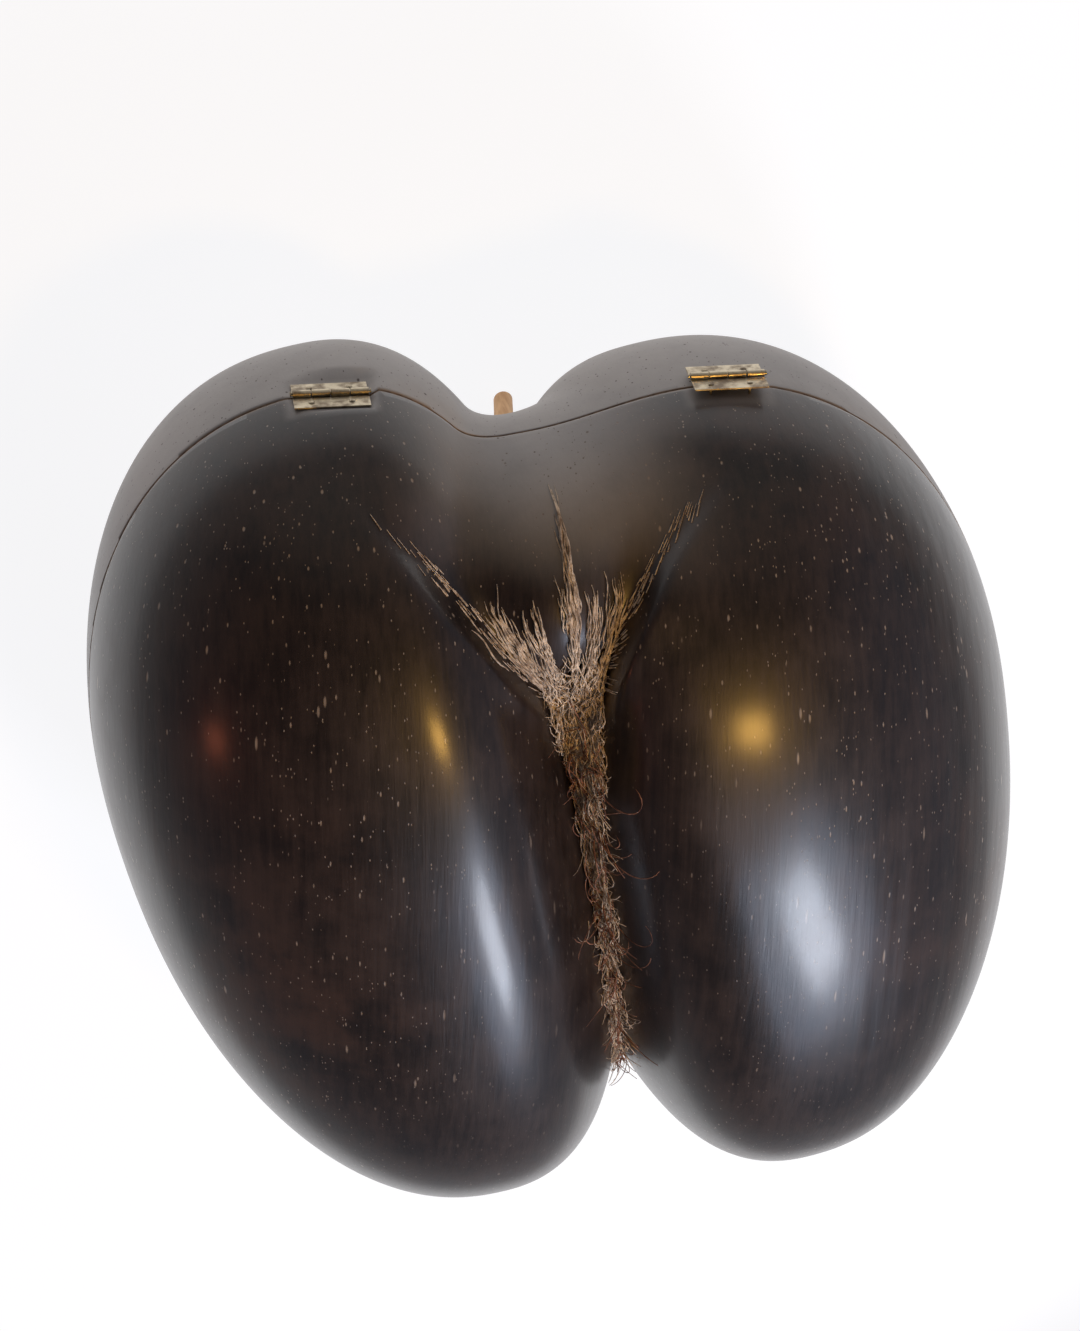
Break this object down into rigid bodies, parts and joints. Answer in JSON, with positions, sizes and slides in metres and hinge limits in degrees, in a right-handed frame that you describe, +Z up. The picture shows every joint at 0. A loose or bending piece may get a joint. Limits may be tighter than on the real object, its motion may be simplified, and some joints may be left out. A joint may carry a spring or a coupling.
{
  "type": "coco de mer seed box",
  "caption": "Polished double coconut seed, sawn level into two hollow halves and hinged at one end as a lidded box, with dry fibre in its groove.",
  "frame": {"origin": "centre of the bounding box in plan, on the surface that the seed lies on", "axes": "+X across the two lobes, +Y towards the hinged end, +Z up through the lid"},
  "size_m": [0.2878, 0.2862, 0.1907],
  "materials": {
    "shell": "polished dark nut shell",
    "fibre": "dry husk fibre",
    "brass": "aged dull brass",
    "pale_wood": "bare pale wood",
    "dark_wood": "bare dark wood"
  },
  "bodies": {
    "bottom": {"bottom_shell": "shell", "peg_pale": "pale_wood", "peg_dark": "dark_wood", "leaf_left_bottom": "brass", "nail_left_bottom_1": "brass", "nail_left_bottom_2": "brass", "leaf_right_bottom": "brass", "nail_right_bottom_1": "brass", "nail_right_bottom_2": "brass", "pin_left": "brass", "pin_right": "brass"},
    "lid": {"lid_shell": "shell", "groove_fibre": "fibre", "leaf_left_lid": "brass", "nail_left_lid_1": "brass", "nail_left_lid_2": "brass", "leaf_right_lid": "brass", "nail_right_lid_1": "brass", "nail_right_lid_2": "brass"}
  },
  "joints": [
    {"name": "lid_hinge", "type": "hinge", "parent": "bottom", "child": "lid", "pos_m": [0, 0.14153, 0.1078], "axis": [-1, 0, 0], "range_deg": [0, 110]}
  ]
}
